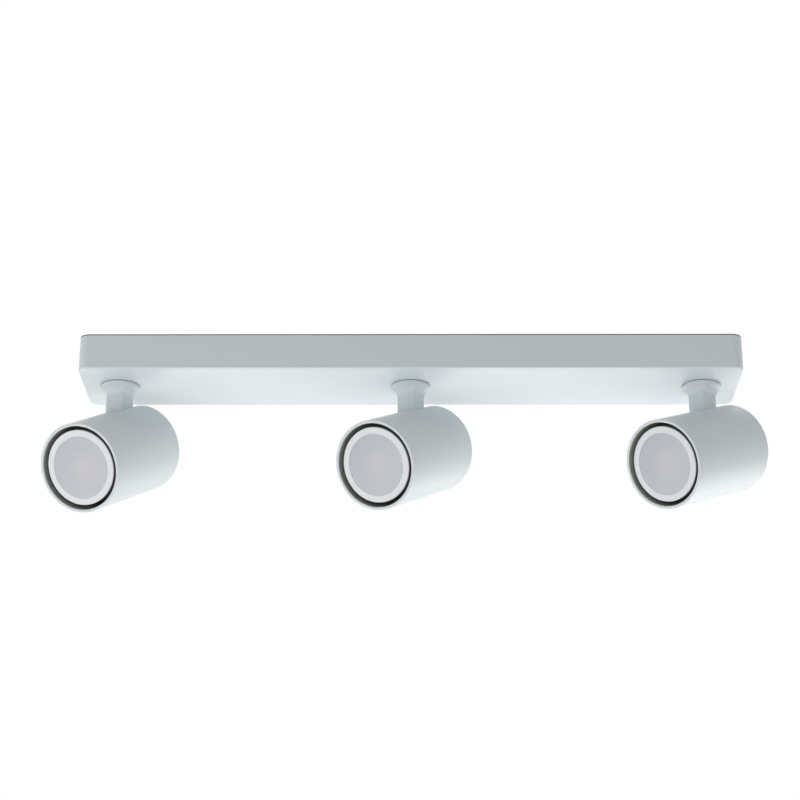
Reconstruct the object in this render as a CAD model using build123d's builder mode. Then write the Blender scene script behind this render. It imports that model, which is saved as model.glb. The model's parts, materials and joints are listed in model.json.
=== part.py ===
# Track lighting fixture: three lamp heads that swivel and tilt under a ceiling bar.
#
# Millimetres. The origin is the middle of the face that meets the ceiling, +Z is up and
# the bar runs along X. A head with no pan looks along -Y, and with no tilt it is level.
from build123d import *
from math import cos, radians, sin
import os

os.makedirs("parts", exist_ok=True)

# ---------------------------------------------------------------- driving dimensions
# Bar: an open-topped sheet steel tray, hung on a strip bracket by a screw at each end.
bar_length = 450.0
bar_width = 66.0
bar_height = 25.0  # from the ceiling to the underside
bar_wall = 1.2
bar_corner_radius = 7.0
bar_edge_radius = 1.0
bar_rim_radius = 0.8
ceiling_gap = 0.6  # the tray's rim stays clear of the ceiling

bracket_thickness = 1.5
bracket_width = 40.0
bracket_bend_radius = 2.0
tab_drop = 17.0
tab_width = 22.0
ceiling_slot_spacing = 260.0
ceiling_slot_width = 5.0
ceiling_slot_length = 15.0
cable_hole_diameter = 16.0
cable_hole_x = 62.0
end_screw_diameter = 4.0
end_screw_length = 8.0
end_screw_socket = 2.0  # across flats
earth_screw_diameter = 4.0
earth_screw_head_diameter = 7.6
earth_screw_head_height = 2.2
earth_washer_thickness = 1.0

# Heads: the order is left, middle, right. Pan turns a head towards -X.
head_inset = 25.0  # from an outer head's axis to the bar's end
head_names = ("left", "middle", "right")
head_pans = (27.0, 34.0, 47.7)
head_tilts = (29.0, 26.0, 22.7)

# Stem: a round collar that flares into a square column with a full-round foot.
collar_diameter = 27.6
collar_band = 3.4
collar_flare = 4.3
collar_edge = 0.4  # chamfer round the collar's top
column_side = 13.0
pivot_drop = 33.5  # from the bar's underside to the tilt pivot
wire_bore_diameter = 5.5
neck_diameter = 10.0
neck_height = 9.6  # above the bar's floor
neck_flat_depth = 0.9
neck_chamfer = 0.5
swivel_washer_thickness = 0.5
swivel_washer_diameter = 24.0
stop_washer_diameter = 18.0
stop_washer_thickness = 1.2
stop_pin_diameter = 3.0
stop_pin_height = 2.4
stop_pin_chamfer = 0.3
stop_pin_distance = 12.0  # from the neck's axis
pan_limit = 165.0
spring_washer_diameter = 17.0
spring_washer_thickness = 1.4
nut_width = 14.0
nut_height = 4.0
nut_chamfer = 0.4

# Tube: the spot housing, slotted behind its pivot so that the column can lie back in it.
tube_length = 80.0
tube_wall = 2.0
tube_rim_radius = 0.5
pivot_to_front = 55.0
slot_mouth_radius = 7.0
lug_diameter = 8.0
lug_length = 9.0
lug_inset = 3.2  # of a lug's centre from the bore

# Carrier: the disc that closes the tube and clasps the stem's foot between two ears.
carrier_recess = 2.0
carrier_thickness = 2.0
carrier_chamfer = 0.5
ear_thickness = 2.0
boss_diameter = 7.0
carrier_screw_diameter = 3.0
carrier_screw_length = 9.0
carrier_screw_head_diameter = 5.6
carrier_screw_head_height = 1.8
pivot_shoulder_diameter = 5.0
pivot_thread_diameter = 4.0
pivot_thread_length = 3.0
pivot_head_diameter = 8.0
pivot_head_height = 2.0
tilt_washer_diameter = 11.0

# Lampholder: a ceramic block with two keyhole slots for a twist-lock lamp.
holder_width = 17.4
holder_height = 15.6
holder_length = 17.0
holder_face_thickness = 3.4
holder_cavity_depth = 4.0
holder_ear_span = 29.0
holder_ear_height = 10.0
holder_ear_thickness = 5.0
holder_corner_radius = 1.5
holder_ear_radius = 2.0
holder_chamfer = 0.4
holder_screw_diameter = 3.0
holder_screw_head_diameter = 5.4
holder_screw_head_height = 2.0
holder_screw_length = 11.0

# Lamp: 50 mm reflector shape with a frosted front and a two-pin base.
lamp_diameter = 50.4
lamp_side_gap = 2.8  # to the tube's bore
lamp_recess = 1.7  # behind the tube's front rim
lamp_length = 46.0  # without the pins
lamp_ring_depth = 5.0
lamp_ring_width = 4.5
lamp_ring_ledge = 1.2  # behind the diffuser's edge
lamp_ring_radius = 1.2
lamp_wall = 1.5
lamp_shoulder_angle = 25.0  # of the reflector's side where it leaves the ring
lamp_base_chamfer = 0.8
diffuser_thickness = 1.5
diffuser_recess = 0.5
lamp_base_diameter = 24.0
lamp_base_length = 14.0
pin_circle_diameter = 10.0
pin_neck_diameter = 3.0
pin_head_diameter = 5.0
pin_neck_length = 4.4
pin_head_length = 2.5
pin_chamfer = 0.5
lamp_twist = 20.0

# Wiring inside the bar.
block_length = 16.0
block_height = 13.0
block_x = -62.0
block_corner_radius = 1.0
block_groove_width = 1.2
pole_pitch = 8.5
pole_hole_diameter = 3.6
pole_screw_diameter = 3.0
pole_screw_depth = 1.0  # of its head in the well
wire_diameter = 1.5
wire_pair_offset = 0.85
wire_entry_radius = 1.5  # from the neck's axis
wire_end_depth = 2.0  # inside the terminal block
wire_neck_depth = 3.0  # below the neck's top
lead_turn_start = 26.0  # from a neck's axis, where a lead leaves its pole's line
lead_turn_end = 9.0
lead_bend_radius = 10.0
lead_turn_radius = 7.0
lead_drop_radius = 4.5
earth_lead_run = 12.0  # straight, up to the earth screw
earth_screw_x = 24.0

# Clearances.
running_clearance = 0.1  # a shaft in its hole, on the radius
thread_clearance = 0.05  # a fixed screw in its hole, on the radius
swivel_play = 0.05  # between flat faces that turn on each other
collar_gap = 0.1  # between the collar's rim and the bar
column_clearance = 0.5  # each side of the column in its slot
pin_clearance = 0.3  # round a lamp pin
foot_gap = 0.7  # between the stem's foot and the lampholder under it
seat_gap = 0.3  # between pieces that may touch but are not clamped
stop_play = 0.1  # between the stop tab and its pin at the limit

# ---------------------------------------------------------------- derived places
underside = -bar_height
floor_top = underside + bar_wall
collar_top = underside - collar_gap
washer_seat = underside - swivel_play - swivel_washer_thickness
band_bottom = collar_top - collar_band
column_top = band_bottom - collar_flare
pivot_z = underside - pivot_drop
neck_top = floor_top + neck_height
neck_hole_radius = neck_diameter / 2 + running_clearance
neck_flat = neck_diameter / 2 - neck_flat_depth
outer_head_x = bar_length / 2 - head_inset
head_xs = (-outer_head_x, 0.0, outer_head_x)

bore_radius = lamp_diameter / 2 + lamp_side_gap
tube_radius = bore_radius + tube_wall
axis_z = -column_side / 2 - foot_gap - holder_height / 2  # below the pivot, in a tube's frame
tube_front = -pivot_to_front
tube_rear = tube_length - pivot_to_front
carrier_rear = tube_rear - carrier_recess
carrier_front = carrier_rear - carrier_thickness
ear_inner = column_side / 2 + column_clearance
ear_outer = ear_inner + ear_thickness
lamp_front = tube_front + lamp_recess
lamp_rear = lamp_front + lamp_length
holder_front = lamp_rear + seat_gap
holder_rear = holder_front + holder_length
holder_screw_x = (holder_width + holder_ear_span) / 4
lug_x = bore_radius - lug_inset
end_screw_z = -(ceiling_gap + bar_height) / 2
bracket_length = bar_length - 2 * bar_wall
tube_axis = Axis((0, 0, axis_z), (0, 1, 0))


def across(y, z=axis_z):
    """The plane across a tube at depth y, facing forwards, centred at height z."""
    return Plane(origin=(0, y, z), x_dir=(1, 0, 0), z_dir=(0, -1, 0))


def save(piece, label):
    """Name a finished piece and write its file."""
    piece.label = label
    export_step(piece, f"parts/{label}.step")


# ---------------------------------------------------------------- bar
with BuildPart() as bar_housing:
    with BuildSketch(Plane.XY.offset(underside)):
        RectangleRounded(bar_length, bar_width, bar_corner_radius)
    extrude(amount=bar_height - ceiling_gap)
    fillet(bar_housing.faces().sort_by(Axis.Z)[0].edges(), bar_edge_radius)
    with BuildSketch(Plane.XY.offset(floor_top)):
        RectangleRounded(
            bar_length - 2 * bar_wall,
            bar_width - 2 * bar_wall,
            bar_corner_radius - bar_wall,
        )
    extrude(amount=bar_height, mode=Mode.SUBTRACT)
    fillet(bar_housing.faces().sort_by(Axis.Z)[-1].outer_wire().edges(), bar_rim_radius)
    with BuildSketch(Plane.XY.offset(underside)):
        with Locations(*[(x, 0) for x in head_xs]):
            Circle(neck_hole_radius)
        with Locations(*[(x, stop_pin_distance) for x in head_xs]):
            Circle(stop_pin_diameter / 2)
    extrude(amount=bar_wall, mode=Mode.SUBTRACT)
    with BuildSketch(Plane.YZ.offset(-bar_length / 2)):
        with Locations((0, end_screw_z)):
            Circle(end_screw_diameter / 2 + thread_clearance)
    extrude(amount=bar_length, mode=Mode.SUBTRACT)
save(bar_housing.part, "bar_housing")

# Stop pins: riveted in the floor behind each neck, just short of the underside.
with BuildPart() as stop_pins:
    with BuildSketch(Plane.XY.offset(underside + seat_gap)):
        with Locations(*[(x, stop_pin_distance) for x in head_xs]):
            Circle(stop_pin_diameter / 2)
    extrude(amount=bar_wall - seat_gap + stop_pin_height)
    chamfer(stop_pins.faces().group_by(Axis.Z)[-1].edges(), stop_pin_chamfer)
save(stop_pins.part, "stop_pins")

# Bracket: a strip with a tab bent down at each end, slotted for the ceiling screws.
with BuildPart() as mounting_bracket:
    with BuildSketch(Plane.XY):
        Rectangle(bracket_length, bracket_width)
    extrude(amount=-bracket_thickness)
    with BuildSketch(Plane.XY):
        with Locations(*[(side * (bracket_length - bracket_thickness) / 2, 0) for side in (-1, 1)]):
            Rectangle(bracket_thickness, tab_width)
    extrude(amount=-tab_drop)
    bends = mounting_bracket.faces().sort_by(Axis.Z)[-1].edges().filter_by(Axis.Y)
    fillet(bends, bracket_bend_radius)
    with BuildSketch(Plane.XY):
        with Locations(*[(side * ceiling_slot_spacing / 2, 0) for side in (-1, 1)]):
            SlotOverall(ceiling_slot_length, ceiling_slot_width)
        with Locations((cable_hole_x, 0)):
            Circle(cable_hole_diameter / 2)
        with Locations((earth_screw_x, 0)):
            Circle(earth_screw_diameter / 2 + thread_clearance)
    extrude(amount=-bracket_thickness, mode=Mode.SUBTRACT)
    with BuildSketch(Plane.YZ.offset(-bar_length / 2)):
        with Locations((0, end_screw_z)):
            Circle(end_screw_diameter / 2 + thread_clearance)
    extrude(amount=bar_length, mode=Mode.SUBTRACT)
save(mounting_bracket.part, "mounting_bracket")

# End screws: socket grub screws, flush in the tray's ends and threaded in the tabs.
with BuildPart() as end_screws:
    for side in (-1, 1):
        outward = Plane(origin=(side * bar_length / 2, 0, end_screw_z), z_dir=(side, 0, 0))
        with BuildSketch(outward.offset(-seat_gap)):
            Circle(end_screw_diameter / 2)
        extrude(amount=-end_screw_length)
        with BuildSketch(outward.offset(-seat_gap)):
            RegularPolygon(end_screw_socket / 2, 6, major_radius=False)
        extrude(amount=-end_screw_socket, mode=Mode.SUBTRACT)
save(end_screws.part, "end_screws")

# Grommet: a grooved ring snapped into the cable hole.
grommet_lip = 1.5
with BuildPart() as cable_grommet:
    with BuildSketch(Plane.XZ):
        with Locations((cable_hole_diameter / 2 - grommet_lip, 0)):
            Rectangle(2 * grommet_lip, bracket_thickness * 2, align=(Align.MIN, Align.MAX))
        with Locations((cable_hole_diameter / 2, 0)):
            Rectangle(
                grommet_lip, bracket_thickness, align=(Align.MIN, Align.MAX), mode=Mode.SUBTRACT
            )
    revolve(axis=Axis.Z)
grommet = cable_grommet.part.moved(Location((cable_hole_x, 0, 0)))
save(grommet, "cable_grommet")

# Earth screw: a pan head under the bracket with its washer.
earth_washer_bottom = -bracket_thickness - earth_washer_thickness
earth_screw_bottom = earth_washer_bottom - earth_screw_head_height
with BuildPart() as earth_screw:
    with BuildSketch(Plane.XY.offset(earth_washer_bottom)):
        Circle(earth_screw_head_diameter / 2 + earth_washer_thickness)
    extrude(amount=earth_washer_thickness)
    with BuildSketch(Plane.XY.offset(earth_screw_bottom)):
        Circle(earth_screw_head_diameter / 2)
    extrude(amount=earth_screw_head_height)
    fillet(earth_screw.faces().sort_by(Axis.Z)[0].edges(), earth_screw_head_height / 2)
    with BuildSketch(Plane.XY.offset(-bracket_thickness)):
        Circle(earth_screw_diameter / 2)
    extrude(amount=bracket_thickness - seat_gap)
save(earth_screw.part.moved(Location((earth_screw_x, 0, 0))), "earth_screw")

# Terminal block: three poles side by side, open along X, with screw wells from below.
block_width = 3 * pole_pitch
block_bottom = -bracket_thickness - block_height
wire_z = -bracket_thickness - block_height / 2
pole_ys = (-pole_pitch, 0.0, pole_pitch)
well_x = block_length / 4
with BuildPart() as terminal_block:
    with BuildSketch(Plane.XY.offset(-bracket_thickness)):
        with Locations((block_x, 0)):
            RectangleRounded(block_length, block_width, block_corner_radius)
    extrude(amount=-block_height)
    with BuildSketch(Plane.XY.offset(block_bottom)):
        with Locations(*[(block_x, (low + high) / 2) for low, high in zip(pole_ys, pole_ys[1:])]):
            Rectangle(block_length, block_groove_width)
    extrude(amount=block_height / 3, mode=Mode.SUBTRACT)
    with BuildSketch(Plane.YZ.offset(block_x - block_length / 2)):
        with Locations(*[(y, wire_z) for y in pole_ys]):
            Circle(pole_hole_diameter / 2)
    extrude(amount=block_length, mode=Mode.SUBTRACT)
    with BuildSketch(Plane.XY.offset(block_bottom)):
        with Locations(*[(block_x + side * well_x, y) for side in (-1, 1) for y in pole_ys]):
            Circle(pole_screw_diameter / 2 + thread_clearance)
    extrude(amount=block_height / 2, mode=Mode.SUBTRACT)
save(terminal_block.part, "terminal_block")

with BuildPart() as terminal_screws:
    with BuildSketch(Plane.XY.offset(block_bottom + pole_screw_depth)):
        with Locations(*[(block_x + side * well_x, y) for side in (-1, 1) for y in pole_ys]):
            Circle(pole_screw_diameter / 2)
    extrude(amount=(block_height - pole_hole_diameter) / 2 - pole_screw_depth)
save(terminal_screws.part, "terminal_screws")


# Leads: from a pole, along the bar and over into the top of each neck.
def lead_route(head_x, pole_y, entry_y, height):
    """The corners of one lead from the block's near face into a neck's bore."""
    towards_block = 1 if head_x < block_x else -1
    start = block_x - towards_block * (block_length / 2 - wire_end_depth)
    return [
        (start, pole_y, height),
        (head_x + towards_block * lead_turn_start, pole_y, height),
        (head_x + towards_block * lead_turn_end, entry_y, height),
        (head_x, entry_y, height),
        (head_x, entry_y, neck_top - wire_neck_depth),
    ]


def build_leads(pole_y, entry_y):
    """One lead to each neck from the pole at pole_y."""
    with BuildPart() as leads:
        for head_x in head_xs:
            pair = {-outer_head_x: 0, 0.0: -wire_pair_offset, outer_head_x: wire_pair_offset}
            height = wire_z + pair[head_x]
            route = lead_route(head_x, pole_y, entry_y, height)
            with BuildLine() as path:
                FilletPolyline(*route, radius=[lead_bend_radius, lead_turn_radius, lead_drop_radius])
            with BuildSketch(Plane(origin=path.line @ 0, z_dir=path.line % 0)):
                Circle(wire_diameter / 2)
            sweep(path=path.line)
    return leads.part


save(build_leads(pole_ys[2], wire_entry_radius), "live_leads")
save(build_leads(pole_ys[0], -wire_entry_radius), "neutral_leads")

with BuildPart() as earth_lead:
    earth_wire_z = earth_screw_bottom - wire_diameter / 2
    with BuildLine() as path:
        FilletPolyline(
            (block_x + block_length / 2 - wire_end_depth, 0, wire_z),
            (block_x + block_length / 2 + lead_turn_start, 0, wire_z),
            (earth_screw_x - earth_lead_run, 0, earth_wire_z),
            (earth_screw_x, 0, earth_wire_z),
            radius=[lead_bend_radius, lead_bend_radius],
        )
    with BuildSketch(Plane(origin=path.line @ 0, z_dir=path.line % 0)):
        Circle(wire_diameter / 2)
    sweep(path=path.line)
save(earth_lead.part, "earth_lead")

# ---------------------------------------------------------------- stem and its hardware
# Built on the Z axis with no pan.
with BuildPart() as stem:
    with BuildSketch(Plane.XY.offset(column_top)):
        Rectangle(column_side, column_side)
    with BuildSketch(Plane.XY.offset(band_bottom)):
        with BuildLine():
            for quarter in range(4):
                CenterArc((0, 0), collar_diameter / 2, 45 + 90 * quarter, 90)
        make_face()
    loft()
    with BuildSketch(Plane.XY.offset(band_bottom)):
        Circle(collar_diameter / 2)
    extrude(amount=collar_band)
    chamfer(stem.faces().sort_by(Axis.Z)[-1].edges(), collar_edge)
    with BuildSketch(Plane.XY.offset(washer_seat)):
        Circle(swivel_washer_diameter / 2 + running_clearance)
    extrude(amount=collar_top - washer_seat, mode=Mode.SUBTRACT)
    with BuildSketch(Plane.XY.offset(pivot_z)):
        Rectangle(column_side, column_side)
    extrude(amount=column_top - pivot_z)
    with BuildSketch(Plane.YZ.offset(-column_side / 2)):
        with Locations((0, pivot_z)):
            Circle(column_side / 2)
    extrude(amount=column_side)
    with BuildSketch(Plane.XY.offset(washer_seat)):
        Circle(neck_diameter / 2)
    extrude(amount=neck_top - washer_seat)
    chamfer(stem.faces().sort_by(Axis.Z)[-1].edges(), neck_chamfer)
    with BuildSketch(Plane.XY.offset(floor_top)):
        with Locations((0, neck_flat)):
            Rectangle(neck_diameter, neck_diameter, align=(Align.CENTER, Align.MIN))
    extrude(amount=neck_height, mode=Mode.SUBTRACT)
    with BuildSketch(Plane.XY.offset(pivot_z - column_side)):
        Circle(wire_bore_diameter / 2)
    extrude(amount=neck_top - pivot_z + column_side, mode=Mode.SUBTRACT)
    with BuildSketch(Plane.YZ.offset(-column_side / 2)):
        with Locations((0, pivot_z)):
            Circle(pivot_thread_diameter / 2 + thread_clearance)
    extrude(amount=column_side, mode=Mode.SUBTRACT)

with BuildPart() as swivel_washer:
    with BuildSketch(Plane.XY.offset(washer_seat)):
        Circle(swivel_washer_diameter / 2)
        Circle(neck_hole_radius, mode=Mode.SUBTRACT)
    extrude(amount=swivel_washer_thickness)

# Stop washer: keyed to the neck's flat, with a tab that meets the stop pin at each limit.
tab_half_width = (
    stop_pin_distance * sin(radians(180 - pan_limit)) - stop_pin_diameter / 2 - stop_play
)
tab_reach = stop_pin_distance + stop_pin_diameter / 2
with BuildPart() as stop_washer:
    with BuildSketch(Plane.XY.offset(floor_top + swivel_play)):
        Circle(stop_washer_diameter / 2)
        Rectangle(2 * tab_half_width, tab_reach, align=(Align.CENTER, Align.MAX))
        with BuildSketch(mode=Mode.PRIVATE) as keyed_hole:
            Circle(neck_hole_radius)
            with Locations((0, neck_flat + thread_clearance)):
                Rectangle(
                    neck_diameter,
                    neck_diameter,
                    align=(Align.CENTER, Align.MIN),
                    mode=Mode.SUBTRACT,
                )
        add(keyed_hole.sketch, mode=Mode.SUBTRACT)
    extrude(amount=stop_washer_thickness)

spring_bottom = floor_top + swivel_play + stop_washer_thickness
with BuildPart() as spring_washer:
    with BuildSketch(Plane.XY.offset(spring_bottom)):
        Circle(spring_washer_diameter / 2)
        Circle(neck_hole_radius, mode=Mode.SUBTRACT)
        Rectangle(
            spring_washer_thickness,
            spring_washer_diameter,
            align=(Align.CENTER, Align.MAX),
            mode=Mode.SUBTRACT,
        )
    extrude(amount=spring_washer_thickness)

nut_bottom = spring_bottom + spring_washer_thickness
with BuildPart() as stem_nut:
    with BuildSketch(Plane.XY.offset(nut_bottom)):
        RegularPolygon(nut_width / 2, 6, major_radius=False)
    extrude(amount=nut_height)
    with BuildSketch(Plane.XY.offset(nut_bottom)):
        Circle(neck_diameter / 2 + thread_clearance)
    extrude(amount=nut_height, mode=Mode.SUBTRACT)
    chamfer(stem_nut.edges().filter_by(GeomType.CIRCLE), nut_chamfer)

stem_pieces = {
    "stem": stem.part,
    "swivel_washer": swivel_washer.part,
    "stop_washer": stop_washer.part,
    "spring_washer": spring_washer.part,
    "stem_nut": stem_nut.part,
}

# ---------------------------------------------------------------- pivot hardware
# Shoulder screws through the ears into the foot, one each side, so the wires pass between.
with BuildPart() as pivot_screws:
    for side in (-1, 1):
        foot_side = Plane(origin=(side * column_side / 2, 0, 0), z_dir=(side, 0, 0))
        shoulder_length = column_clearance + ear_thickness + swivel_play
        with BuildSketch(foot_side):
            Circle(pivot_shoulder_diameter / 2)
        extrude(amount=shoulder_length)
        with BuildSketch(foot_side):
            Circle(pivot_thread_diameter / 2)
        extrude(amount=-pivot_thread_length)
        with BuildSketch(foot_side.offset(shoulder_length)):
            Circle(pivot_head_diameter / 2)
        extrude(amount=pivot_head_height)
        fillet(
            pivot_screws.faces().sort_by(Axis.X)[-1 if side > 0 else 0].edges(),
            pivot_head_height / 3,
        )
        with BuildSketch(foot_side.offset(shoulder_length + pivot_head_height)):
            Rectangle(pivot_head_diameter, pivot_head_diameter / 8)
        extrude(amount=-pivot_head_height / 2, mode=Mode.SUBTRACT)

with BuildPart() as tilt_washers:
    for side in (-1, 1):
        with BuildSketch(Plane(origin=(side * column_side / 2, 0, 0), z_dir=(side, 0, 0))):
            Circle(tilt_washer_diameter / 2)
            Circle(pivot_shoulder_diameter / 2 + thread_clearance, mode=Mode.SUBTRACT)
        extrude(amount=column_clearance - swivel_play)

pivot_pieces = {"pivot_screws": pivot_screws.part, "tilt_washers": tilt_washers.part}


# ---------------------------------------------------------------- tube and carrier
# Built about the pivot, level and looking along -Y.
slot_half = ear_inner
mouth_y = tube_rear - slot_mouth_radius
mouth_x = slot_half + slot_mouth_radius
lug_places = [(side * lug_x, 0) for side in (-1, 1)]
with BuildPart() as tube:
    with BuildSketch(across(tube_rear)):
        Circle(tube_radius)
        Circle(bore_radius, mode=Mode.SUBTRACT)
    extrude(amount=tube_length)
    fillet(tube.edges().filter_by(GeomType.CIRCLE), tube_rim_radius)
    with BuildSketch(Plane.XY):
        with Locations((0, -slot_half)):
            Rectangle(2 * slot_half, tube_length, align=(Align.CENTER, Align.MIN))
        with Locations((0, mouth_y)):
            Rectangle(2 * mouth_x, tube_length, align=(Align.CENTER, Align.MIN))
        with Locations((-mouth_x, mouth_y), (mouth_x, mouth_y)):
            Circle(slot_mouth_radius, mode=Mode.SUBTRACT)
    extrude(amount=tube_radius, mode=Mode.SUBTRACT)
    with BuildSketch(across(carrier_front)):
        with Locations(*lug_places):
            Circle(lug_diameter / 2)
    extrude(amount=lug_length)
    with BuildSketch(across(carrier_front)):
        with Locations(*lug_places):
            Circle(carrier_screw_diameter / 2 + thread_clearance)
    extrude(amount=lug_length, mode=Mode.SUBTRACT)

holder_screw_places = [(side * holder_screw_x, 0) for side in (-1, 1)]
carrier_middle = carrier_front + carrier_thickness / 2
with BuildPart() as carrier:
    with BuildSketch(across(carrier_rear)):
        Circle(bore_radius - thread_clearance)
    extrude(amount=carrier_thickness)
    chamfer(carrier.faces().sort_by(Axis.Y)[-1].edges(), carrier_chamfer)
    with BuildSketch(across(carrier_middle)):
        with Locations(*holder_screw_places):
            Circle(boss_diameter / 2)
    extrude(amount=carrier_middle - holder_rear)
    with BuildSketch(across(carrier_rear)):
        with Locations(*holder_screw_places):
            Circle(holder_screw_diameter / 2 + thread_clearance)
        with Locations(*lug_places):
            Circle(carrier_screw_diameter / 2 + thread_clearance)
    extrude(amount=carrier_rear - holder_rear, mode=Mode.SUBTRACT)
    with BuildSketch(across(carrier_rear, 0)):
        with Locations((0, -ear_inner)):
            Rectangle(2 * ear_inner, tube_radius + ear_inner, align=(Align.CENTER, Align.MIN))
    extrude(amount=carrier_thickness, mode=Mode.SUBTRACT)
    for side in (-1, 1):
        with BuildSketch(Plane(origin=(side * ear_inner, 0, 0), x_dir=(0, 1, 0), z_dir=(side, 0, 0))):
            Rectangle(carrier_middle, column_side, align=(Align.MIN, Align.CENTER))
            Circle(column_side / 2)
            Circle(pivot_shoulder_diameter / 2 + running_clearance, mode=Mode.SUBTRACT)
        extrude(amount=ear_thickness)

with BuildPart() as carrier_screws:
    with BuildSketch(across(carrier_rear + carrier_screw_head_height)):
        with Locations(*lug_places):
            Circle(carrier_screw_head_diameter / 2)
    extrude(amount=carrier_screw_head_height)
    fillet(
        carrier_screws.faces().group_by(Axis.Y)[-1].edges(),
        carrier_screw_head_height / 2,
    )
    with BuildSketch(across(carrier_rear)):
        with Locations(*lug_places):
            Circle(carrier_screw_diameter / 2)
    extrude(amount=carrier_screw_length)

# ---------------------------------------------------------------- lampholder
pin_angles = (0, 180)
with BuildPart() as lampholder:
    with BuildSketch(across(holder_rear)):
        RectangleRounded(holder_width, holder_height, holder_corner_radius)
    extrude(amount=holder_length)
    chamfer(lampholder.faces().sort_by(Axis.Y)[0].edges(), holder_chamfer)
    with BuildSketch(across(holder_rear)):
        RectangleRounded(holder_ear_span, holder_ear_height, holder_ear_radius)
    extrude(amount=holder_ear_thickness)
    with BuildSketch(across(holder_rear)):
        with Locations(*holder_screw_places):
            Circle(holder_screw_diameter / 2 + thread_clearance)
    extrude(amount=holder_ear_thickness, mode=Mode.SUBTRACT)
    for start in pin_angles:
        pin_path = Edge.make_circle(pin_circle_diameter / 2, Plane.XY, start, start + lamp_twist)
        with BuildSketch(across(holder_front)):
            SlotArc(pin_path, pin_neck_diameter + 2 * pin_clearance)
            with PolarLocations(pin_circle_diameter / 2, 1, start + lamp_twist):
                Circle(pin_head_diameter / 2 + pin_clearance)
        extrude(amount=-holder_face_thickness, mode=Mode.SUBTRACT)
        with BuildSketch(across(holder_front + holder_face_thickness)):
            SlotArc(pin_path, pin_head_diameter + 2 * pin_clearance)
        extrude(amount=-holder_cavity_depth, mode=Mode.SUBTRACT)

with BuildPart() as holder_screws:
    ear_front = holder_rear - holder_ear_thickness
    with BuildSketch(across(ear_front)):
        with Locations(*holder_screw_places):
            Circle(holder_screw_head_diameter / 2)
    extrude(amount=holder_screw_head_height)
    fillet(holder_screws.faces().group_by(Axis.Y)[0].edges(), holder_screw_head_height / 3)
    with BuildSketch(across(ear_front)):
        with Locations(*holder_screw_places):
            Circle(holder_screw_diameter / 2)
    extrude(amount=-holder_screw_length)

tube_pieces = {
    "tube": tube.part,
    "carrier": carrier.part,
    "carrier_screws": carrier_screws.part,
    "lampholder": lampholder.part,
    "holder_screws": holder_screws.part,
}

# ---------------------------------------------------------------- lamp
# Sections are drawn in the YZ plane above the tube's axis and turned about it.
ring_rear = lamp_front + lamp_ring_depth
lamp_radius = lamp_diameter / 2
diffuser_radius = lamp_radius - lamp_ring_width
base_radius = lamp_base_diameter / 2
base_start = lamp_rear - lamp_base_length
diffuser_front = lamp_front + diffuser_recess
with BuildPart() as lamp_ring:
    with BuildSketch(Plane.YZ):
        with Locations((lamp_front, axis_z + diffuser_radius + thread_clearance)):
            Rectangle(
                lamp_ring_depth,
                lamp_radius - diffuser_radius - thread_clearance,
                align=(Align.MIN, Align.MIN),
            )
        with Locations((diffuser_front + diffuser_thickness, axis_z + diffuser_radius)):
            Rectangle(
                ring_rear - diffuser_front - diffuser_thickness,
                2 * lamp_ring_ledge,
                align=(Align.MIN, Align.CENTER),
            )
    revolve(axis=tube_axis)
    fillet(lamp_ring.faces().sort_by(Axis.Y)[0].outer_wire().edges(), lamp_ring_radius)
    fillet(lamp_ring.faces().sort_by(Axis.Y)[0].inner_wires()[0].edges(), lamp_ring_radius / 4)

with BuildPart() as lamp_diffuser:
    with BuildSketch(across(diffuser_front + diffuser_thickness)):
        Circle(diffuser_radius)
    extrude(amount=diffuser_thickness)

shoulder_radius = lamp_radius - lamp_wall / 2
with BuildPart() as lamp_body:
    with BuildSketch(Plane.YZ):
        with BuildLine():
            rim = Line(
                (ring_rear, axis_z + shoulder_radius - 2 * lamp_wall),
                (ring_rear, axis_z + shoulder_radius),
            )
            cone = TangentArc(
                rim @ 1,
                (base_start, axis_z + base_radius + lamp_wall),
                tangent=(cos(radians(lamp_shoulder_angle)), -sin(radians(lamp_shoulder_angle))),
            )
            Polyline(
                cone @ 1,
                (base_start, axis_z + base_radius),
                (lamp_rear, axis_z + base_radius),
                (lamp_rear, axis_z),
                (base_start - lamp_wall, axis_z),
                (base_start - lamp_wall, axis_z + base_radius - lamp_wall),
                rim @ 0,
            )
        make_face()
    revolve(axis=tube_axis)
    chamfer(lamp_body.faces().sort_by(Axis.Y)[-1].edges(), lamp_base_chamfer)

with BuildPart() as lamp_pins:
    with BuildSketch(across(lamp_rear)):
        with PolarLocations(pin_circle_diameter / 2, 2):
            Circle(pin_neck_diameter / 2)
    extrude(amount=-pin_neck_length)
    with BuildSketch(across(lamp_rear + pin_neck_length)):
        with PolarLocations(pin_circle_diameter / 2, 2):
            Circle(pin_head_diameter / 2)
    extrude(amount=-pin_head_length)
    chamfer(lamp_pins.faces().group_by(Axis.Y)[-1].edges(), pin_chamfer)

lamp_pieces = {
    "lamp_ring": lamp_ring.part,
    "lamp_diffuser": lamp_diffuser.part,
    "lamp_body": lamp_body.part,
    "lamp_pins": lamp_pins.part,
}

# ---------------------------------------------------------------- place the heads
for name, head_x, pan, tilt in zip(head_names, head_xs, head_pans, head_tilts):
    stem_place = Location((head_x, 0, 0), (0, 0, -pan))
    pivot_place = stem_place * Location((0, 0, pivot_z))
    tube_place = pivot_place * Location((0, 0, 0), (tilt, 0, 0))
    for kind, piece in stem_pieces.items():
        save(piece.moved(stem_place), f"{kind}_{name}")
    for kind, piece in pivot_pieces.items():
        save(piece.moved(pivot_place), f"{kind}_{name}")
    for kind, piece in (tube_pieces | lamp_pieces).items():
        save(piece.moved(tube_place), f"{kind}_{name}")
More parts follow.
